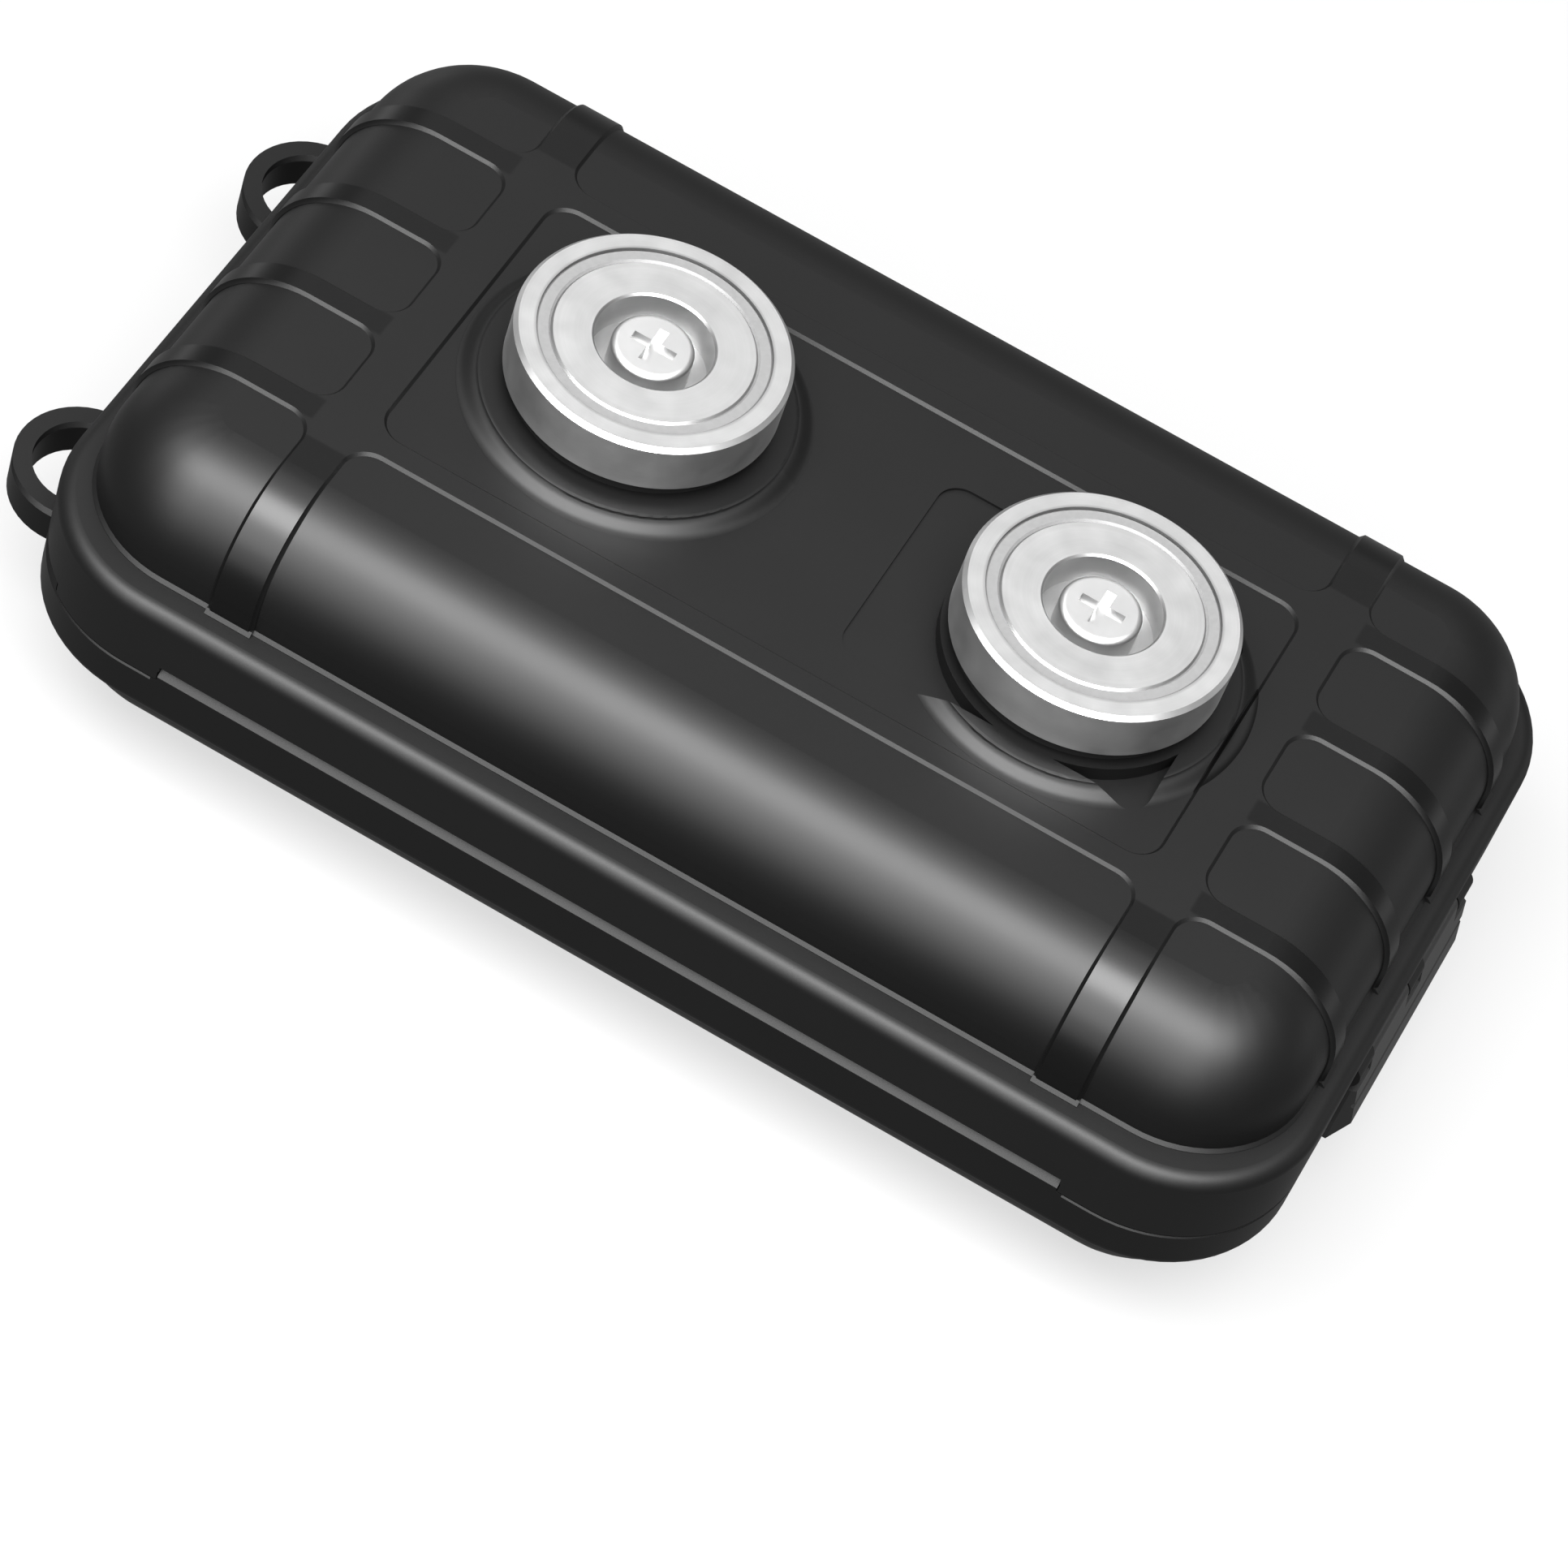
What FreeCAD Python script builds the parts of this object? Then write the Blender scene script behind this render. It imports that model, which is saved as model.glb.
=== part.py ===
import FreeCAD, Part
import math
import os

from FreeCAD import Vector

# Magnetic key box: a two-part moulded case that opens like a clam shell, with two pot magnets screwed
# on its lid.  Millimetres, +Z up.  X runs along the case from the hinge (-X) to the latch (+X), Z = 0 is
# the plane that the base stands on, and the Z axis passes through the middle of the case.

# ---------------------------------------------------------------- driving dimensions: case
case_length = 158.4         # over the flanges
case_width = 95.0
case_corner = 17.6          # plan radius of the flanges
case_height = 44.6          # base and closed lid, without the magnets
rim_height = 20.6           # top of the base's rim
base_flange_drop = 7.6      # from the rim down to the underside of the base's flange
lid_flange_rise = 9.0       # from the rim up to the top of the lid's flange
flange_reach_x = 2.6        # how far the flanges stand out from the ribs, at the ends
flange_reach_y = 3.8        # and at the sides
dome_corner = 15.4          # plan radius of the ribs
wall = 3.4                  # from the rib faces to the cavity
dome_edge_radius = 12.1     # the large rounded edge of each half
bead_radius = 1.8           # outer top edge of the lid's flange
flange_edge_radius = 1.5    # outer lower edge of the base's flange

# ---------------------------------------------------------------- driving dimensions: ribs and panels
side_panel_depth = 0.65     # pockets on the sides and ends
top_panel_depth = 0.35      # the same pockets on the flat top and bottom
rib_width = 3.7             # between two flutes, and between a flute and a panel
flute_width = 11.7
flute_count = 3             # at each end
flute_inner_x = 55.0        # where the flutes and corner panels begin
side_rib_width = 5.8        # the rib between a corner panel and a side panel
centre_panel_half_length = 48.7
panel_corner = 3.0
rib_bevel = 0.45            # on the ribs' edges along the pockets
dome_foot = 0.4             # sloping foot between the dome and the flange

# ---------------------------------------------------------------- driving dimensions: rim and seal
rim_gap = 0.1               # between the closed halves
lip_depth = 1.4             # the lid's lip hangs this far below the rim
lip_width = 1.3
lip_clearance = 0.15
grip_half_length = 57.2     # along each side there is no lip, and both rims are chamfered
grip_chamfer = 0.8
hinge_lip_end = 6.5         # the lip stops this far before the flange's end at the hinge
groove_inset = 2.6          # from the flange's outer face to the seal groove
groove_width = 1.8
groove_depth = 2.4
seal_side_clearance = 0.1
seal_height = 1.5
tongue_height = 0.6
tongue_clearance = 0.2      # each side, in the groove

# ---------------------------------------------------------------- driving dimensions: hinge
hinge_pin_radius = 0.8
hinge_knuckle_radius = 1.7
hinge_knuckle_length = 6.0
hinge_knuckle_count = 5     # three on the base and two on the lid
hinge_inset = 0.55          # from the flange's outer face in to the pin's axis
hinge_chamfer = 0.8         # on both flanges, so that their edges clear as the lid turns
knuckle_end_gap = 0.15
knuckle_relief = 0.2        # round the other half's knuckles
pin_clearance = 0.05        # radial, in every knuckle

# ---------------------------------------------------------------- driving dimensions: lugs
lug_outer_radius = 8.3
lug_band = 2.2
lug_thickness = 5.1
lug_spacing = 52.4
lug_below_rim = 0.7
lug_reach = 0.7             # of the lug's centre, out from the hinge axis

# ---------------------------------------------------------------- driving dimensions: latch
latch_half_width = 16.6
latch_face_half_width = 15.6
latch_pin_radius = 0.8
latch_barrel_radius = 1.9
latch_pivot_rise = 3.0      # of the pivot above the rim
latch_lip_reach = 2.1       # of the finger lip, out from the flange's outer face
latch_lip_rise = 2.0        # of the finger lip's lower edge above the underside of the base's flange
latch_hook_bite = 0.8       # of the hook, under the base's flange
latch_hook_thickness = 1.2
latch_clearance = 0.2
latch_ear_width = 4.2
latch_ear_radius = 2.0
latch_relief = 0.45         # round the latch's barrels
latch_swing_room = 0.6      # above that, for the plate when it is swung up
latch_groove_radius = 0.45
latch_groove_depth = 0.35
latch_groove_rise = 3.4     # of the groove above the finger lip

# ---------------------------------------------------------------- driving dimensions: magnets
magnet_diameter = 32.0
magnet_height = 6.5
magnet_places = ((-27.7, 1.3), (30.2, -0.5))    # where they are screwed on, as (x, y)
magnet_names = ("left", "right")
cup_floor = 1.8
cup_wall = 2.5
cup_edge = 0.5              # chamfer on the cup's outer upper edge
ring_outer_radius = 11.8
ring_inner_radius = 6.9
ring_below_rim = 0.3
filler_below_rim = 0.3
ring_edge = 0.25            # chamfer on the upper edges of the ring magnet and the filler ring
gasket_radius = 15.0
gasket_thickness = 2.0
boss_base_radius = 20.6
boss_top_radius = 18.4
boss_height = 1.6
boss_edge_radius = 1.0
seat_length = 38.5          # square recess round the right-hand magnet
seat_width = 30.0
seat_centre = (26.0, -1.5)
seat_depth = 0.35
seat_island_radius = 16.4

# ---------------------------------------------------------------- driving dimensions: fasteners
screw_radius = 2.5
screw_head_radius = 4.8
screw_head_height = 3.75
screw_head_edge = 0.7       # rounding of the pan head's upper edge
screw_shank_length = 14.0
screw_clearance = 0.25
cross_width = 1.2
cross_length = 5.4
cross_depth = 1.6
washer_radius = 5.0
washer_thickness = 1.0
nut_across_flats = 8.0
nut_height = 4.0
thread_clearance = 0.05

# ---------------------------------------------------------------- derived places
half_length = case_length / 2
half_width = case_width / 2
base_flange_z = rim_height - base_flange_drop
lid_flange_z = rim_height + lid_flange_rise
lid_bottom_z = rim_height + rim_gap
dome_length = case_length - 2 * flange_reach_x
dome_width = case_width - 2 * flange_reach_y
panel_edge_radius = dome_edge_radius - (side_panel_depth + top_panel_depth) / 2
ceiling_z = case_height - wall
recess_z = case_height - top_panel_depth
flute_pitch = flute_width + rib_width
flutes_half_width = flute_pitch * (flute_count - 1) / 2 + flute_width / 2
panel_inner_y = flutes_half_width + rib_width
side_panel_half_length = flute_inner_x - side_rib_width
past = 12.0                 # how far a cutting solid runs past the case

hinge_x = -(half_length - hinge_inset)
hinge_z = rim_height + rim_gap / 2
hinge_length = hinge_knuckle_count * hinge_knuckle_length

latch_x = half_length - lip_width
latch_z = rim_height + latch_pivot_rise
latch_plate_top = latch_z - latch_barrel_radius - 0.5
latch_lip_z = base_flange_z + latch_lip_rise
latch_face_x = half_length + latch_lip_reach

boss_z = recess_z + boss_height
magnet_z = boss_z + gasket_thickness
magnet_top = magnet_z + magnet_height
magnet_radius = magnet_diameter / 2
cup_inner_radius = magnet_radius - cup_wall
screw_seat_z = magnet_z + cup_floor
screw_top = screw_seat_z + screw_head_height


# ---------------------------------------------------------------- building blocks
def box(x0, x1, y0, y1, z0, z1):
    return Part.makeBox(x1 - x0, y1 - y0, z1 - z0, Vector(x0, y0, z0))


def upright(radius, z0, z1, x=0.0, y=0.0):
    return Part.makeCylinder(radius, z1 - z0, Vector(x, y, z0))


def crosswise(radius, y0, y1, x, z):
    """A cylinder along Y, such as a knuckle or a pin."""
    return Part.makeCylinder(radius, y1 - y0, Vector(x, y0, z), Vector(0, 1, 0))


def tube(outer, inner, z0, z1, x=0.0, y=0.0):
    return upright(outer, z0, z1, x, y).cut(upright(inner, z0, z1, x, y))


def rounded_slab(length, width, corner, z0, z1, x=0.0, y=0.0):
    """An upright prism on a rectangle with round corners."""
    a = length / 2 - corner
    b = width / 2 - corner
    s = corner * math.sqrt(0.5)
    edges = []
    turn = ((1, 1), (-1, 1), (-1, -1), (1, -1))
    starts = ((corner, 0), (0, corner), (-corner, 0), (0, -corner))
    ends = ((0, corner), (-corner, 0), (0, -corner), (corner, 0))
    for k in range(4):
        sx, sy = turn[k]
        centre = Vector(x + sx * a, y + sy * b, z0)
        first = centre + Vector(starts[k][0], starts[k][1], 0)
        last = centre + Vector(ends[k][0], ends[k][1], 0)
        edges.append(Part.Arc(first, centre + Vector(sx * s, sy * s, 0), last).toShape())
        nx, ny = turn[(k + 1) % 4]
        follow = Vector(x + nx * a, y + ny * b, z0)
        follow = follow + Vector(starts[(k + 1) % 4][0], starts[(k + 1) % 4][1], 0)
        edges.append(Part.LineSegment(last, follow).toShape())
    return Part.Face(Part.Wire(edges)).extrude(Vector(0, 0, z1 - z0))


def rounded_window(x0, x1, y0, y1, corner, z0, z1):
    return rounded_slab(x1 - x0, y1 - y0, corner, z0, z1, (x0 + x1) / 2, (y0 + y1) / 2)


def flange_slab(inset, z0, z1):
    """The flange's plan shape, drawn in by an inset."""
    return rounded_slab(case_length - 2 * inset, case_width - 2 * inset, case_corner - inset, z0, z1)


def flange_ring(inset, width, z0, z1):
    return flange_slab(inset, z0, z1).cut(flange_slab(inset + width, z0, z1))


def round_rim(solid, z, radius):
    """Round every edge of a solid that lies in the plane at z."""
    edges = [e for e in solid.Edges if all(abs(v.Z - z) < 1e-4 for v in e.Vertexes)]
    return solid.makeFillet(radius, edges)


def profile_along_y(points, y0, y1):
    """A prism along Y on a closed outline of (x, z) points."""
    corners = [Vector(x, y0, z) for x, z in points]
    return Part.Face(Part.makePolygon(corners + corners[:1])).extrude(Vector(0, y1 - y0, 0))


def profile_along_x(points, x0, x1):
    corners = [Vector(x0, y, z) for y, z in points]
    return Part.Face(Part.makePolygon(corners + corners[:1])).extrude(Vector(x1 - x0, 0, 0))


def mirrored_in_height(solid, height):
    return solid.mirror(Vector(0, 0, height / 2), Vector(0, 0, 1))


# ---------------------------------------------------------------- the domes of the two halves
def panel_windows(z0, z1):
    """Upright cutters for the flutes, the corner panels, the side panels and the centre panel."""
    windows = []
    far_x = half_length + past
    far_y = half_width + past
    for end in (-1, 1):
        x0, x1 = sorted((end * flute_inner_x, end * far_x))
        for k in range(flute_count):
            y = (k - (flute_count - 1) / 2) * flute_pitch
            windows.append(rounded_window(x0, x1, y - flute_width / 2, y + flute_width / 2,
                                          panel_corner, z0, z1))
        for side in (-1, 1):
            y0, y1 = sorted((side * panel_inner_y, side * far_y))
            windows.append(rounded_window(x0, x1, y0, y1, panel_corner, z0, z1))
    for side in (-1, 1):
        y0, y1 = sorted((side * panel_inner_y, side * far_y))
        windows.append(rounded_window(-side_panel_half_length, side_panel_half_length, y0, y1,
                                      panel_corner, z0, z1))
    windows.append(rounded_window(-centre_panel_half_length, centre_panel_half_length,
                                  -flutes_half_width, flutes_half_width, panel_corner, z0, z1))
    return windows


def rounded_dome(inset, top_inset, edge_radius, depth):
    """A block with its upper edges rounded, open side down; its flat top is at z = 0."""
    solid = rounded_slab(dome_length - 2 * inset, dome_width - 2 * inset, dome_corner - inset,
                         -depth, -top_inset)
    return round_rim(solid, -top_inset, edge_radius)


def is_pocket_wall(face):
    """True for an upright face inside the dome's outline: the side of a flute or a panel."""
    middle = face.CenterOfMass
    upright_face = abs(face.normalAt(0, 0).z) < 1e-6
    inside_x = abs(middle.x) < dome_length / 2 - 1e-3
    inside_y = abs(middle.y) < dome_width / 2 - 1e-3
    straight = isinstance(face.Surface, Part.Plane)
    round_end = isinstance(face.Surface, Part.Cylinder) and abs(face.Surface.Radius - panel_corner) < 1e-6
    return upright_face and inside_x and inside_y and (straight or round_end)


def bevelled_ribs(ribs, bottom_z):
    """Take off the ribs' edges where their outer faces meet the pockets' walls."""
    walls = [face for face in ribs.Faces if is_pocket_wall(face)]
    others = [face for face in ribs.Faces if not is_pocket_wall(face)]
    outer_edges = [edge for face in others for edge in face.Edges]
    edges = []
    for wall_face in walls:
        for edge in wall_face.Edges:
            above = edge.CenterOfMass.z > bottom_z + 1e-3
            if above and any(edge.isSame(other) for other in outer_edges):
                edges.append(edge)
    return ribs.makeChamfer(rib_bevel, edges)


def sloping_foot(inset, foot_z):
    """A low skirt round the dome, as wide as it is high; its top edge runs into the dome."""
    bite = 0.1
    reach = dome_foot - inset
    top_z = foot_z + dome_foot + 2 * bite
    solid = rounded_slab(dome_length + 2 * reach, dome_width + 2 * reach, dome_corner + reach, foot_z, top_z)
    edges = [e for e in solid.Edges if all(abs(v.Z - top_z) < 1e-4 for v in e.Vertexes)]
    return solid.makeChamfer(dome_foot + bite, edges)


def ribbed_dome(depth, foot_z):
    """The lid's dome with its top at z = 0; foot_z is where it stands on the flange."""
    windows = Part.makeCompound(panel_windows(-depth - 1, 1))
    ribs = rounded_dome(0.0, 0.0, dome_edge_radius, depth).cut(windows)
    ribs = bevelled_ribs(ribs, -depth)
    panels = rounded_dome(side_panel_depth, top_panel_depth, panel_edge_radius, depth)
    panels = panels.fuse(sloping_foot(side_panel_depth, foot_z))
    return panels.fuse([ribs, sloping_foot(0.0, foot_z).cut(windows)])


def cavity(depth):
    return rounded_dome(wall, wall, dome_edge_radius - wall, depth)


# ---------------------------------------------------------------- base
def knuckle_spans(on_base):
    """The Y spans of one half's hinge knuckles; the outer ones are the base's."""
    spans = []
    for k in range(hinge_knuckle_count):
        if (k % 2 == 0) == on_base:
            y = -hinge_length / 2 + k * hinge_knuckle_length
            spans.append((y + knuckle_end_gap, y + hinge_knuckle_length - knuckle_end_gap))
    return spans


def add_knuckles(solid, on_base):
    for y0, y1 in knuckle_spans(not on_base):
        notch = crosswise(hinge_knuckle_radius + knuckle_relief, y0 - 2 * knuckle_end_gap,
                          y1 + 2 * knuckle_end_gap, hinge_x, hinge_z)
        solid = solid.cut(notch)
    for y0, y1 in knuckle_spans(on_base):
        solid = solid.fuse(crosswise(hinge_knuckle_radius, y0, y1, hinge_x, hinge_z))
    bore = crosswise(hinge_pin_radius + pin_clearance, -hinge_length / 2 - past,
                     hinge_length / 2 + past, hinge_x, hinge_z)
    return solid.cut(bore)


def lug(y):
    """A half-round ring on the base's flange, for a cord or a split ring."""
    top = rim_height - lug_below_rim
    x = hinge_x - lug_reach
    ring = tube(lug_outer_radius, lug_outer_radius - lug_band, top - lug_thickness, top, x, y)
    return ring.common(box(x - past, -half_length + 1.5, y - past, y + past, 0, case_height))


def lip_region():
    """The stretches of the outer rim where the lid's lip hangs over the base."""
    zone = []
    for end, limit in ((-1, half_length - hinge_lip_end), (1, half_length + past)):
        x0, x1 = sorted((end * grip_half_length, end * limit))
        zone.append(box(x0, x1, -half_width - past, half_width + past, 0, case_height))
    return Part.makeCompound(zone)


def grip_wedge(side, rim, way):
    """The corner that the chamfer takes off a rim along one side; way is -1 below it and 1 above."""
    edge = side * half_width
    points = [(edge - side * grip_chamfer, rim), (edge + side, rim - way),
              (edge + side, rim + way * (grip_chamfer + 1)), (edge, rim + way * grip_chamfer)]
    return profile_along_x(points, -grip_half_length, grip_half_length)


def base_shell():
    dome = mirrored_in_height(rounded_dome(0, 0, dome_edge_radius, rim_height - 3.0), 0)
    flange = round_rim(flange_slab(0, base_flange_z, rim_height), base_flange_z, flange_edge_radius)
    solid = dome.fuse(flange)
    solid = solid.cut(mirrored_in_height(cavity(rim_height + 1), 0))
    groove_z = rim_height - groove_depth
    solid = solid.cut(flange_ring(groove_inset, groove_width, groove_z, rim_height + 1))
    rebate = flange_ring(-past / 2, past / 2 + lip_width, rim_height - lip_depth, rim_height + 1)
    solid = solid.cut(rebate.common(lip_region()))
    for side in (-1, 1):
        solid = solid.cut(grip_wedge(side, rim_height, -1))
    end = -half_length
    wedge = [(end + hinge_chamfer, rim_height), (end - 1, rim_height + 1),
             (end - 1, rim_height - hinge_chamfer - 1), (end, rim_height - hinge_chamfer)]
    solid = solid.cut(profile_along_y(wedge, -half_width, half_width))
    solid = solid.cut(box(latch_x, half_length + past, -latch_half_width - latch_clearance,
                          latch_half_width + latch_clearance, base_flange_z - 1, rim_height + 1))
    for side in (-1, 1):
        solid = solid.fuse(lug(side * lug_spacing / 2))
    return add_knuckles(solid, True).removeSplitter()


def seal_ring():
    z = rim_height - groove_depth
    inset = groove_inset + seal_side_clearance
    return flange_ring(inset, groove_width - 2 * seal_side_clearance, z, z + seal_height)


def hinge_pin():
    return crosswise(hinge_pin_radius, -hinge_length / 2, hinge_length / 2, hinge_x, hinge_z)


# ---------------------------------------------------------------- lid
def ear_spans():
    outer = latch_half_width + latch_clearance
    half = latch_ear_width / 2
    return ((-outer, -outer + latch_ear_width), (-half, half), (outer - latch_ear_width, outer))


def barrel_spans():
    outer = latch_half_width + latch_clearance - latch_ear_width - knuckle_end_gap
    inner = latch_ear_width / 2 + knuckle_end_gap
    return ((-outer, -inner), (inner, outer))


def magnet_boss(x, y):
    cone = Part.makeCone(boss_base_radius, boss_top_radius, boss_height, Vector(x, y, recess_z))
    return round_rim(cone, boss_z, boss_edge_radius)


def lid_shell():
    dome = ribbed_dome(case_height - lid_flange_z + 3.0, lid_flange_z - case_height)
    dome.translate(Vector(0, 0, case_height))
    flange = round_rim(flange_slab(0, lid_bottom_z, lid_flange_z), lid_flange_z, bead_radius)
    solid = dome.fuse(flange)
    panel = rounded_slab(2 * centre_panel_half_length, 2 * flutes_half_width, panel_corner,
                         recess_z, boss_z)
    for x, y in magnet_places:
        solid = solid.fuse(magnet_boss(x, y).common(panel))
    seat_x, seat_y = seat_centre
    seat = rounded_slab(seat_length, seat_width, panel_corner, recess_z - seat_depth,
                        boss_z + 1, seat_x, seat_y)
    seat = seat.cut(upright(seat_island_radius, 0, case_height + past, *magnet_places[1]))
    solid = solid.cut(seat)
    hollow = cavity(case_height - rim_height + 1)
    hollow.translate(Vector(0, 0, case_height))
    solid = solid.cut(hollow)

    lip = flange_ring(0, lip_width - lip_clearance, rim_height - lip_depth + lip_clearance,
                      lid_bottom_z)
    gap = box(-grip_half_length - lip_clearance, grip_half_length + lip_clearance,
              -half_width - past, half_width + past, 0, case_height)
    hinge_side = box(-half_length - past, -half_length + hinge_lip_end + lip_clearance,
                     -half_width - past, half_width + past, 0, case_height)
    solid = solid.fuse(lip.cut(gap).cut(hinge_side))
    inset = groove_inset + tongue_clearance
    tongue = flange_ring(inset, groove_width - 2 * tongue_clearance, rim_height - tongue_height,
                         lid_bottom_z)
    solid = solid.fuse(tongue)

    for side in (-1, 1):
        solid = solid.cut(grip_wedge(side, lid_bottom_z, 1))
    end = -half_length
    wedge = [(end + hinge_chamfer, lid_bottom_z), (end - 1, lid_bottom_z - 1),
             (end - 1, lid_bottom_z + hinge_chamfer + 1), (end, lid_bottom_z + hinge_chamfer)]
    solid = solid.cut(profile_along_y(wedge, -half_width, half_width))
    solid = add_knuckles(solid, False)
    solid = latch_mouth(solid)
    for x, y in magnet_places:
        solid = solid.cut(upright(screw_radius + screw_clearance, 0, case_height + past, x, y))
    return solid.removeSplitter()


def latch_mouth(solid):
    """The recess in the lid's flange for the latch, and the three ears that hold its pin."""
    reach = latch_half_width + latch_clearance
    solid = solid.cut(box(latch_x, half_length + past, -reach, reach, 0, latch_z))
    for y0, y1 in ear_spans():
        solid = solid.fuse(crosswise(latch_ear_radius, y0, y1, latch_x, latch_z))
    relief = latch_barrel_radius + latch_relief
    for y0, y1 in barrel_spans():
        low = y0 - knuckle_end_gap
        high = y1 + knuckle_end_gap
        solid = solid.cut(crosswise(relief, low, high, latch_x, latch_z))
        solid = solid.cut(box(latch_x, half_length + past, low, high, 0,
                              latch_z + relief + latch_swing_room))
    return solid.cut(crosswise(latch_pin_radius + pin_clearance, -reach - 1, reach + 1,
                               latch_x, latch_z))


# ---------------------------------------------------------------- latch
def latch_outer_x(z):
    """The sloping outer face of the latch, from its barrel down to its finger lip."""
    top_x = latch_x + latch_barrel_radius
    share = (latch_z - z) / (latch_z - latch_lip_z)
    return top_x + share * (latch_face_x - top_x)


def latch():
    inner = latch_x + latch_clearance
    hook_top = base_flange_z - latch_clearance
    hook_bottom = hook_top - latch_hook_thickness
    hook_tip = latch_x - latch_hook_bite
    plate = [(inner, latch_plate_top), (inner, hook_top), (hook_tip, hook_top),
             (hook_tip + 0.3, hook_bottom), (half_length + 0.4, hook_bottom),
             (latch_face_x, latch_lip_z), (latch_outer_x(latch_plate_top), latch_plate_top)]
    solid = profile_along_y(plate, -latch_half_width, latch_half_width)
    for y0, y1 in barrel_spans():
        neck = [(inner, latch_plate_top - 0.5), (latch_outer_x(latch_plate_top - 0.5),
                latch_plate_top - 0.5), (latch_outer_x(latch_z), latch_z), (latch_x, latch_z)]
        solid = solid.fuse(profile_along_y(neck, y0, y1))
        solid = solid.fuse(crosswise(latch_barrel_radius, y0, y1, latch_x, latch_z))
    groove_z = latch_lip_z + latch_groove_rise
    groove_x = latch_outer_x(groove_z) + latch_groove_radius - latch_groove_depth
    solid = solid.cut(crosswise(latch_groove_radius, -case_width, case_width, groove_x, groove_z))
    bevel_x = half_length + 0.4
    outer = latch_face_x + 2
    plan = [(hook_tip - 2, -latch_half_width), (bevel_x, -latch_half_width),
            (latch_face_x, -latch_face_half_width), (outer, -latch_face_half_width),
            (outer, latch_face_half_width), (latch_face_x, latch_face_half_width),
            (bevel_x, latch_half_width), (hook_tip - 2, latch_half_width)]
    corners = [Vector(x, y, 0) for x, y in plan]
    outline = Part.Face(Part.makePolygon(corners + corners[:1])).extrude(Vector(0, 0, case_height))
    solid = solid.common(outline)
    bore = crosswise(latch_pin_radius + pin_clearance, -case_width, case_width, latch_x, latch_z)
    return solid.cut(bore).removeSplitter()


def latch_pin():
    reach = latch_half_width + latch_clearance
    return crosswise(latch_pin_radius, -reach, reach, latch_x, latch_z)


# ---------------------------------------------------------------- magnets
def magnet_cup(x, y):
    """A turned steel pot with a hole for its screw."""
    cup = upright(magnet_radius, magnet_z, magnet_top, x, y)
    rim = [e for e in cup.Edges if all(abs(v.Z - magnet_top) < 1e-4 for v in e.Vertexes)]
    cup = cup.makeChamfer(cup_edge, rim)
    cup = cup.cut(upright(cup_inner_radius, screw_seat_z, magnet_top + 1, x, y))
    return cup.cut(upright(screw_radius + screw_clearance, 0, magnet_top, x, y))


def chamfered_tube(outer, inner, z0, z1, x, y):
    """A ring whose two upper edges are chamfered."""
    ring = tube(outer, inner, z0, z1, x, y)
    edges = [e for e in ring.Edges if all(abs(v.Z - z1) < 1e-4 for v in e.Vertexes)]
    return ring.makeChamfer(ring_edge, edges)


def ring_magnet(x, y):
    return chamfered_tube(ring_outer_radius, ring_inner_radius, screw_seat_z,
                          magnet_top - ring_below_rim, x, y)


def filler_ring(x, y):
    return chamfered_tube(cup_inner_radius, ring_outer_radius, screw_seat_z,
                          magnet_top - filler_below_rim, x, y)


def gasket(x, y):
    return tube(gasket_radius, screw_radius + screw_clearance, boss_z, magnet_z, x, y)


# ---------------------------------------------------------------- fasteners
def pan_head(x, y):
    head = upright(screw_head_radius, screw_seat_z, screw_top, x, y)
    return round_rim(head, screw_top, screw_head_edge)


def screw(x, y):
    shank = upright(screw_radius, screw_seat_z - screw_shank_length, screw_seat_z, x, y)
    solid = pan_head(x, y).fuse(shank)
    for along, across in ((cross_length, cross_width), (cross_width, cross_length)):
        slot = box(x - along / 2, x + along / 2, y - across / 2, y + across / 2,
                   screw_top - cross_depth, screw_top + 1)
        solid = solid.cut(slot)
    return solid.removeSplitter()


def washer(x, y):
    return tube(washer_radius, screw_radius + thread_clearance, ceiling_z - washer_thickness,
                ceiling_z, x, y)


def nut(x, y):
    top = ceiling_z - washer_thickness
    radius = nut_across_flats / math.sqrt(3)
    corners = []
    for k in range(7):
        turn = math.radians(60 * k)
        corner = Vector(radius * math.cos(turn), radius * math.sin(turn), 0)
        corners.append(Vector(x, y, top - nut_height) + corner)
    solid = Part.Face(Part.makePolygon(corners)).extrude(Vector(0, 0, nut_height))
    return solid.cut(upright(screw_radius + thread_clearance, 0, case_height, x, y))


def group(make):
    return Part.makeCompound([make(x, y) for x, y in magnet_places])


# ---------------------------------------------------------------- export
def write(name, shape):
    shape.exportStep(os.path.join("parts", name + ".step"))
    print(name, len(shape.Solids), "solids", shape.isValid(), round(shape.Volume, 1), "mm3")


os.makedirs("parts", exist_ok=True)
write("base_shell", base_shell())
write("seal_ring", seal_ring())
write("hinge_pin", hinge_pin())
write("lid_shell", lid_shell())
write("latch", latch())
write("latch_pin", latch_pin())
for side_name, place in zip(magnet_names, magnet_places):
    write("magnet_cup_" + side_name, magnet_cup(*place))
    write("ring_magnet_" + side_name, ring_magnet(*place))
    write("filler_ring_" + side_name, filler_ring(*place))
    write("magnet_gasket_" + side_name, gasket(*place))
write("magnet_screws", group(screw))
write("magnet_washers", group(washer))
write("magnet_nuts", group(nut))
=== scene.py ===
import math

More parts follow.
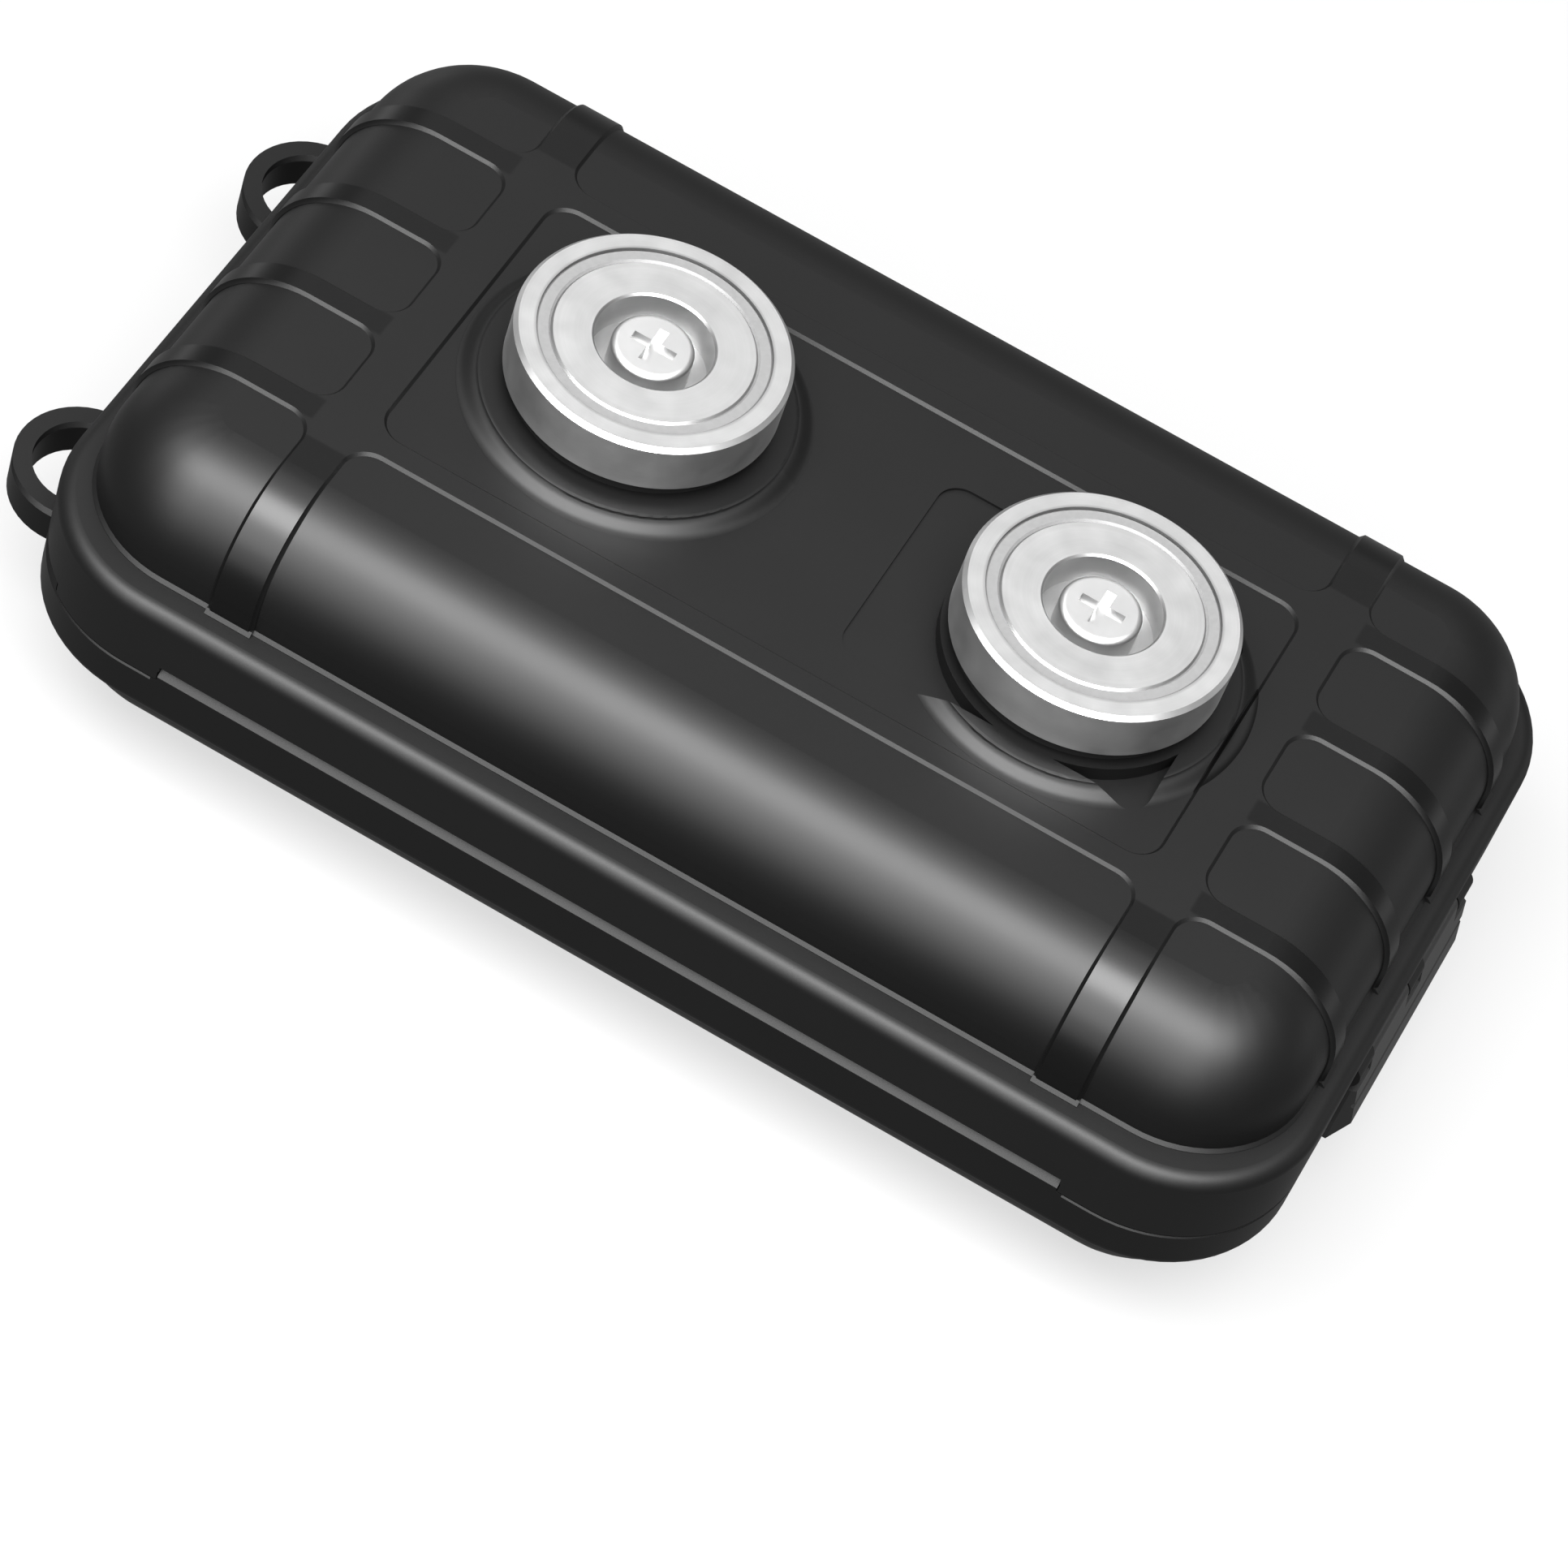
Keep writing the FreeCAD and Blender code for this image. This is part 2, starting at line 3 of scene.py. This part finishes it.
import bpy
from mathutils import Euler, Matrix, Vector

# The magnetic key holder box: its materials, the studio and the camera.
# Places and sizes are in metres, except where the name says MM.
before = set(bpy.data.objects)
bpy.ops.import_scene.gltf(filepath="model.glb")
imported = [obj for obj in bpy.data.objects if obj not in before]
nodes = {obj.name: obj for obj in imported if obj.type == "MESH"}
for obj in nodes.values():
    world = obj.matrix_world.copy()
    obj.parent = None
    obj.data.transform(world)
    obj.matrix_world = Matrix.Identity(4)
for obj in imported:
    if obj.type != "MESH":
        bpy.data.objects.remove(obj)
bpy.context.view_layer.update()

# ---------------------------------------------------------------- camera, fitted to the picture
LENS_MM = 141.43
SENSOR_MM = 36.0
CAMERA_PLACE_MM = (85.37, -450.76, 555.91)
CAMERA_TURN_DEG = (37.4217, -13.4370, 27.0904)
NEAR_CLIP = 0.01

# ---------------------------------------------------------------- studio
WORLD_LIGHT = 0.33
FLOOR_SIZE = 8.0
FLOOR_COLOR = (0.05, 0.05, 0.05, 1.0)
FLOOR_GLOW = 0.62
FLOOR_Z = -0.0002               # just under the case, so that the two faces don't coincide
LIGHT_TARGET = (0.0, 0.0, 0.02)
# name, middle, width, height, brightness
PANELS = (
    ("back_panel", (-0.25, 0.804, 0.750), 0.9, 0.589, 1.0),
    ("upper_panel", (0.0, 0.153, 1.089), 1.4, 0.631, 4.4),
    ("key_panel", (0.0, -0.394, 1.027), 1.4, 0.508, 47.0),
    ("low_panel", (0.0, -0.843, 0.707), 1.4, 0.589, 14.0),
    ("front_panel", (0.0, -1.067, 0.266), 1.4, 0.388, 5.0),
    ("left_strip", (-0.30, 0.19, 0.035), 0.26, 0.06, 1.6),
    ("right_strip", (0.30, 0.19, 0.035), 0.26, 0.06, 1.6),
)

# ---------------------------------------------------------------- plastics, resin and rubber
CASE_COLOR = (0.0006, 0.0006, 0.0006)
CASE_ROUGHNESS = 0.45
CASE_SPECULAR = 0.15
RIB_ROUGHNESS = 0.31            # the lid's ribs are polished
FLANGE_ROUGHNESS = 0.50         # and its flange is duller
# colour, roughness and specular level
LATCH_PLASTIC = ((0.002, 0.002, 0.002), 0.42, 0.3)
RESIN = ((0.055, 0.055, 0.055), 0.4, 0.4)
SILICONE = ((0.12, 0.118, 0.11), 0.5, 0.3)
RUBBER = ((0.001, 0.001, 0.001), 0.6, 0.15)

# ---------------------------------------------------------------- metals
# colour and roughness
STEEL = ((0.43, 0.43, 0.43), 0.36)
NICKEL = ((0.38, 0.38, 0.38), 0.36)
MAGNET_PLATE = ((0.40, 0.40, 0.40), 0.34)
CUP_SIDE_ROUGHNESS = 0.38

# ---------------------------------------------------------------- noise; a larger scale is finer
PLASTIC_GRAIN_SCALE = 4200.0
PLASTIC_CLOUD_SCALE = 55.0
TURNING_SCALE = 6000.0
TURNED_CLOUD_SCALE = 260.0
METAL_GRAIN_SCALE = 2500.0
METAL_CLOUD_SCALE = 120.0
SOFT_GRAIN_SCALE = 1800.0
PLASTIC_GRAIN_DEPTH = 0.000003
TURNING_DEPTH = 0.00003
METAL_GRAIN_DEPTH = 0.00002
SOFT_GRAIN_DEPTH = 0.00003

# ---------------------------------------------------------------- ribs of the lid
SIDE_RIB_INNER = 0.0492         # the ribs across the sides lie between these two, along X
SIDE_RIB_OUTER = 0.0550         # the end ribs begin here
SIDE_RIB_START_Y = 0.0268       # the ribs across the sides are polished beyond this
RIB_PITCH = 0.0154              # of the end ribs, along Y
RIB_REACH_Y = 0.0231            # middle of the outermost end rib
RIB_HALF_WIDTH = 0.0019
RIB_EDGE = 0.0005               # the polish fades out over this
DOME_Z = 0.0300                 # top of the dome's sloping foot
DOME_EDGE = 0.0004
DOWN_MAX_UP = -0.02             # where the normal's Z is below this, a face looks down into the lid

# ---------------------------------------------------------------- outer top edge of the base
RIM_Z = 0.0192                  # under the lid's lip
RIM_EDGE = 0.0004               # height of the broken edge
RIM_SLOPE = 0.8
RIM_START_X = 0.0580            # the edge shows beyond the finger grips

# ---------------------------------------------------------------- magnets and their bosses
MAGNETS = {"left": (-0.0277, 0.0013), "right": (0.0302, -0.0005)}
BOSS_FOOT = 0.0206
BOSS_TOP = 0.0184
BOSS_LIFT = 0.90                # slope that would lay the boss's side flat
BOSS_HOLLOW = 0.83              # how much of it is left in the middle of the side
BOSS_MIN_Z = 0.0441             # between the floor of the right-hand magnet's seat and the panel round it
BOSS_MIN_UP = 0.6               # of the normal's Z, to leave out the seat's walls
CUP_SIDE = 0.0153               # outside this radius the cup's face turns over into its side
CUP_TURN = 0.0006
CUP_INNER = 0.0135
RING_OUTER = 0.0118
RING_HOLE = 0.0069
JOINT_REACH = 0.0004            # the dark line where two rings meet reaches this far each way
JOINT_SHADE = 0.7


def add_camera():
    data = bpy.data.cameras.new("camera")
    data.lens = LENS_MM
    data.sensor_width = SENSOR_MM
    data.clip_start = NEAR_CLIP
    camera = bpy.data.objects.new("camera", data)
    camera.location = Vector(CAMERA_PLACE_MM) / 1000
    camera.rotation_euler = Euler([math.radians(a) for a in CAMERA_TURN_DEG])
    bpy.context.scene.collection.objects.link(camera)
    bpy.context.scene.camera = camera


# ---------------------------------------------------------------- material nodes
class Nodes:
    """Short names for the nodes of one material."""

    def __init__(self, name, metallic, specular):
        self.material = bpy.data.materials.new(name)
        self.material.use_nodes = True
        self.tree = self.material.node_tree
        self.shader = self.tree.nodes["Principled BSDF"]
        self.shader.inputs["Metallic"].default_value = metallic
        self.shader.inputs["Specular IOR Level"].default_value = specular
        coordinates = self.tree.nodes.new("ShaderNodeTexCoord")
        self.place = coordinates.outputs["Object"]
        self.normal = coordinates.outputs["Normal"]
        self.bumped = None
        self.level = None

    def fill(self, socket, value):
        """Links a socket to another one, or sets it to a number."""
        if isinstance(value, bpy.types.NodeSocket):
            self.tree.links.new(value, socket)
        else:
            socket.default_value = value

    def math(self, operation, first, second=0.0):
        node = self.tree.nodes.new("ShaderNodeMath")
        node.operation = operation
        self.fill(node.inputs[0], first)
        self.fill(node.inputs[1], second)
        return node.outputs["Value"]

    def noise(self, scale, detail, place=None):
        node = self.tree.nodes.new("ShaderNodeTexNoise")
        node.inputs["Scale"].default_value = scale
        node.inputs["Detail"].default_value = detail
        self.fill(node.inputs["Vector"], place or self.place)
        return node.outputs["Fac"]

    def spread(self, value, low, high, from_low=0.0, from_high=1.0, smooth=False):
        """Turns from_low..from_high into low..high, and stays inside it."""
        node = self.tree.nodes.new("ShaderNodeMapRange")
        if smooth:
            node.interpolation_type = "SMOOTHSTEP"
        self.fill(node.inputs["Value"], value)
        self.fill(node.inputs["From Min"], from_low)
        self.fill(node.inputs["From Max"], from_high)
        self.fill(node.inputs["To Min"], low)
        self.fill(node.inputs["To Max"], high)
        return node.outputs["Result"]

    def around(self, value, middle, reach):
        """Turns 0..1 into a number that is at most reach away from middle."""
        return self.spread(value, middle - reach, middle + reach)

    def axes(self, vector=None):
        node = self.tree.nodes.new("ShaderNodeSeparateXYZ")
        self.fill(node.inputs["Vector"], vector or self.place)
        return node.outputs["X"], node.outputs["Y"], node.outputs["Z"]

    def color(self, color, amount):
        node = self.tree.nodes.new("ShaderNodeVectorMath")
        node.operation = "SCALE"
        node.inputs[0].default_value = color
        self.fill(node.inputs["Scale"], amount)
        self.fill(self.shader.inputs["Base Color"], node.outputs["Vector"])

    def roughness(self, level):
        self.level = level
        self.fill(self.shader.inputs["Roughness"], level)

    def bump(self, height, strength, depth):
        """Adds a bump to those already there."""
        node = self.tree.nodes.new("ShaderNodeBump")
        node.inputs["Distance"].default_value = depth
        self.fill(node.inputs["Strength"], strength)
        self.fill(node.inputs["Height"], height)
        if self.bumped:
            self.fill(node.inputs["Normal"], self.bumped)
        self.bumped = node.outputs["Normal"]
        self.fill(self.shader.inputs["Normal"], self.bumped)


# ---------------------------------------------------------------- bosses and the base's edge
def radius_from(kit, center):
    """Distance from a magnet's axis."""
    x, y = kit.axes()[:2]
    x = kit.math("SUBTRACT", x, center[0])
    y = kit.math("SUBTRACT", y, center[1])
    squares = kit.math("ADD", kit.math("MULTIPLY", x, x), kit.math("MULTIPLY", y, y))
    return kit.math("SQRT", squares)


def boss_height(kit, center):
    """Height that rounds the boss's sloping side off, so that it catches the light as a thin soft arc."""
    width = BOSS_FOOT - BOSS_TOP
    across = kit.spread(radius_from(kit, center), 0.0, 1.0, BOSS_TOP, BOSS_FOOT)
    wave = kit.math("COSINE", kit.math("MULTIPLY", across, math.pi))
    wave = kit.math("MULTIPLY", kit.math("SUBTRACT", wave, 1.0), BOSS_HOLLOW * width / math.pi)
    return kit.math("ADD", wave, kit.math("MULTIPLY", across, BOSS_LIFT * width))


def boss_mask(kit):
    """1 on the bosses and the panel round them, 0 on walls and in the right-hand magnet's seat."""
    upward = kit.math("GREATER_THAN", kit.axes(kit.normal)[2], BOSS_MIN_UP)
    above = kit.math("GREATER_THAN", kit.axes()[2], BOSS_MIN_Z)
    return kit.math("MULTIPLY", upward, above)


def rim_height(kit):
    """Height that breaks the base's top edge."""
    above = kit.math("MAXIMUM", kit.math("SUBTRACT", kit.axes()[2], RIM_Z - RIM_EDGE), 0.0)
    return kit.math("MULTIPLY", above, -RIM_SLOPE)


def rim_mask(kit):
    """1 where the base's top edge isn't behind the grips."""
    return kit.math("GREATER_THAN", kit.math("ABSOLUTE", kit.axes()[0]), RIM_START_X)


# ---------------------------------------------------------------- polished ribs
def outside_mask(kit):
    """0 on faces that look down, such as the lid's inner face, and 1 on the others."""
    return kit.math("GREATER_THAN", kit.axes(kit.normal)[2], DOWN_MAX_UP)


def dome_mask(kit):
    """1 on the lid's dome and 0 on its flange."""
    return kit.spread(kit.axes()[2], 0.0, 1.0, DOME_Z, DOME_Z + DOME_EDGE, smooth=True)


def side_rib_mask(kit, x, y):
    """1 on the ribs across the long sides."""
    inner = kit.spread(x, 0.0, 1.0, SIDE_RIB_INNER, SIDE_RIB_INNER + RIB_EDGE, smooth=True)
    outer = kit.spread(x, 1.0, 0.0, SIDE_RIB_OUTER - RIB_EDGE, SIDE_RIB_OUTER, smooth=True)
    beside = kit.spread(y, 0.0, 1.0, SIDE_RIB_START_Y, SIDE_RIB_START_Y + RIB_EDGE, smooth=True)
    return kit.math("MULTIPLY", kit.math("MULTIPLY", inner, outer), beside)


def end_rib_mask(kit, x, y):
    """1 on the ribs at the two ends."""
    off = kit.math("SUBTRACT", kit.math("MODULO", y, RIB_PITCH), RIB_PITCH / 2)
    off = kit.math("ABSOLUTE", off)
    near = kit.spread(off, 1.0, 0.0, RIB_HALF_WIDTH - RIB_EDGE, RIB_HALF_WIDTH, smooth=True)
    last = RIB_REACH_Y + RIB_HALF_WIDTH
    within = kit.spread(y, 1.0, 0.0, last, last + RIB_EDGE)
    beyond = kit.spread(x, 0.0, 1.0, SIDE_RIB_OUTER, SIDE_RIB_OUTER + RIB_EDGE, smooth=True)
    return kit.math("MULTIPLY", kit.math("MULTIPLY", near, within), beyond)


def rib_mask(kit):
    """1 on the lid's raised ribs and 0 in its pockets, on its flange and on faces that look down."""
    x, y = kit.axes()[:2]
    x = kit.math("ABSOLUTE", x)
    y = kit.math("ABSOLUTE", y)
    ribs = kit.math("MAXIMUM", side_rib_mask(kit, x, y), end_rib_mask(kit, x, y))
    outside = kit.math("MULTIPLY", dome_mask(kit), outside_mask(kit))
    return kit.math("MULTIPLY", ribs, outside)


# ---------------------------------------------------------------- materials
def moulded_plastic(name, color, roughness, specular):
    """Black moulded plastic with a very fine spark-eroded grain."""
    kit = Nodes(name, 0.0, specular)
    grain = kit.noise(PLASTIC_GRAIN_SCALE, 3.0)
    cloud = kit.noise(PLASTIC_CLOUD_SCALE, 5.0)
    kit.color(color, kit.around(cloud, 1.0, 0.2))
    kit.roughness(kit.math("ADD", kit.around(cloud, roughness, 0.02), kit.around(grain, 0.0, 0.03)))
    kit.bump(grain, 1.0, PLASTIC_GRAIN_DEPTH)
    return kit


def lid_plastic(name):
    """The case's plastic, polished on the ribs, duller on the flange and rounded off at the bosses."""
    kit = moulded_plastic(name, CASE_COLOR, CASE_ROUGHNESS, CASE_SPECULAR)
    flange = kit.math("SUBTRACT", 1.0, dome_mask(kit))
    dull = kit.math("MULTIPLY", flange, FLANGE_ROUGHNESS - CASE_ROUGHNESS)
    polish = kit.math("MULTIPLY", rib_mask(kit), RIB_ROUGHNESS - CASE_ROUGHNESS)
    kit.roughness(kit.math("ADD", kit.level, kit.math("ADD", polish, dull)))
    heights = [boss_height(kit, center) for center in MAGNETS.values()]
    kit.bump(kit.math("ADD", *heights), boss_mask(kit), 1.0)
    return kit.material


def base_plastic(name):
    """The case's plastic with its top edge broken."""
    kit = moulded_plastic(name, CASE_COLOR, CASE_ROUGHNESS, CASE_SPECULAR)
    kit.bump(rim_height(kit), rim_mask(kit), 1.0)
    return kit.material


def joint_shade(kit, radius, ring):
    """1, and less at a joint of this radius between two rings."""
    off = kit.math("ABSOLUTE", kit.math("SUBTRACT", radius, ring))
    return kit.spread(off, JOINT_SHADE, 1.0, 0.0, JOINT_REACH, smooth=True)


def turned_metal(name, color, roughness, center, rings, side_roughness=None):
    """Plated metal with fine turning marks round the axis, dark where two rings meet."""
    kit = Nodes(name, 1.0, 0.5)
    radius = radius_from(kit, center)
    across = kit.tree.nodes.new("ShaderNodeCombineXYZ")
    kit.fill(across.inputs["X"], radius)
    kit.fill(across.inputs["Z"], kit.axes()[2])
    marks = kit.noise(TURNING_SCALE, 2.0, across.outputs["Vector"])
    cloud = kit.noise(TURNED_CLOUD_SCALE, 5.0)
    shade = kit.math("MULTIPLY", kit.around(cloud, 1.0, 0.10), kit.around(marks, 1.0, 0.05))
    for ring in rings:
        shade = kit.math("MULTIPLY", shade, joint_shade(kit, radius, ring))
    kit.color(color, shade)
    kit.roughness(kit.math("ADD", kit.around(cloud, roughness, 0.04), kit.around(marks, 0.0, 0.03)))
    if side_roughness is not None:
        extra = side_roughness - roughness
        side = kit.spread(radius, 0.0, extra, CUP_SIDE, CUP_SIDE + CUP_TURN, smooth=True)
        kit.roughness(kit.math("ADD", kit.level, side))
    kit.bump(marks, 0.15, TURNING_DEPTH)
    return kit.material


def worn_metal(name, color, roughness):
    """Bare metal with a fine grain and cloudy handling marks."""
    kit = Nodes(name, 1.0, 0.5)
    grain = kit.noise(METAL_GRAIN_SCALE, 3.0)
    cloud = kit.noise(METAL_CLOUD_SCALE, 5.0)
    kit.color(color, kit.around(cloud, 1.0, 0.07))
    kit.roughness(kit.math("ADD", kit.around(cloud, roughness, 0.03), kit.around(grain, 0.0, 0.03)))
    kit.bump(grain, 0.1, METAL_GRAIN_DEPTH)
    return kit.material


def soft_solid(name, color, roughness, specular):
    """Silicone, rubber or cast resin."""
    kit = Nodes(name, 0.0, specular)
    grain = kit.noise(SOFT_GRAIN_SCALE, 4.0)
    kit.color(color, kit.around(grain, 1.0, 0.12))
    kit.roughness(kit.around(grain, roughness, 0.05))
    kit.bump(grain, 0.15, SOFT_GRAIN_DEPTH)
    return kit.material


def magnet_finishes(side, center):
    """The materials of one magnet's pot and ring, turned round its own axis."""
    cup = turned_metal("nickel_" + side, *NICKEL, center, (CUP_INNER,), CUP_SIDE_ROUGHNESS)
    ring = turned_metal("magnet_plate_" + side, *MAGNET_PLATE, center, (RING_HOLE, RING_OUTER))
    return {"magnet_cup_" + side: cup, "ring_magnet_" + side: ring}


def finishes():
    """Each CAD node's material."""
    steel = worn_metal("screw_steel", *STEEL)
    resin = soft_solid("resin", *RESIN)
    rubber = soft_solid("gasket_rubber", *RUBBER)
    finish = {
        "base_shell": base_plastic("black_plastic"),
        "lid_shell": lid_plastic("lid_plastic"),
        "latch": moulded_plastic("latch_plastic", *LATCH_PLASTIC).material,
        "seal_ring": soft_solid("silicone", *SILICONE),
    }
    for name in ("hinge_pin", "latch_pin", "magnet_screws", "magnet_washers", "magnet_nuts"):
        finish[name] = steel
    for side, center in MAGNETS.items():
        finish.update(magnet_finishes(side, center))
        finish["filler_ring_" + side] = resin
        finish["magnet_gasket_" + side] = rubber
    return finish


def paint(name, material):
    data = nodes[name].data
    data.materials.clear()
    data.materials.append(material)


# ---------------------------------------------------------------- floor and light
def add_floor():
    """A plain ground that glows slightly and isn't mirrored in the case."""
    bpy.ops.mesh.primitive_plane_add(size=FLOOR_SIZE, location=(0, 0, FLOOR_Z))
    floor = bpy.context.object
    floor.name = "floor"
    material = bpy.data.materials.new("floor")
    material.use_nodes = True
    shader = material.node_tree.nodes["Principled BSDF"]
    shader.inputs["Base Color"].default_value = FLOOR_COLOR
    shader.inputs["Roughness"].default_value = 1.0
    shader.inputs["Specular IOR Level"].default_value = 0.0
    shader.inputs["Emission Color"].default_value = (1, 1, 1, 1)
    shader.inputs["Emission Strength"].default_value = FLOOR_GLOW
    floor.data.materials.append(material)
    floor.visible_glossy = False


def add_panel(name, place, width, height, brightness):
    """A soft box that faces the case. The camera doesn't see it."""
    data = bpy.data.lights.new(name, "AREA")
    data.shape = "RECTANGLE"
    data.size = width
    data.size_y = height
    data.energy = brightness * math.pi * width * height
    light = bpy.data.objects.new(name, data)
    light.location = place
    light.rotation_euler = (Vector(LIGHT_TARGET) - Vector(place)).to_track_quat("-Z", "Y").to_euler()
    light.visible_camera = False
    bpy.context.scene.collection.objects.link(light)


def add_world():
    world = bpy.data.worlds.new("studio")
    bpy.context.scene.world = world
    world.use_nodes = True
    background = world.node_tree.nodes["Background"]
    background.inputs["Color"].default_value = (1, 1, 1, 1)
    background.inputs["Strength"].default_value = WORLD_LIGHT


bpy.context.scene.view_settings.view_transform = "Standard"
add_camera()
for name, material in finishes().items():
    paint(name, material)
add_floor()
add_world()
for panel in PANELS:
    add_panel(*panel)
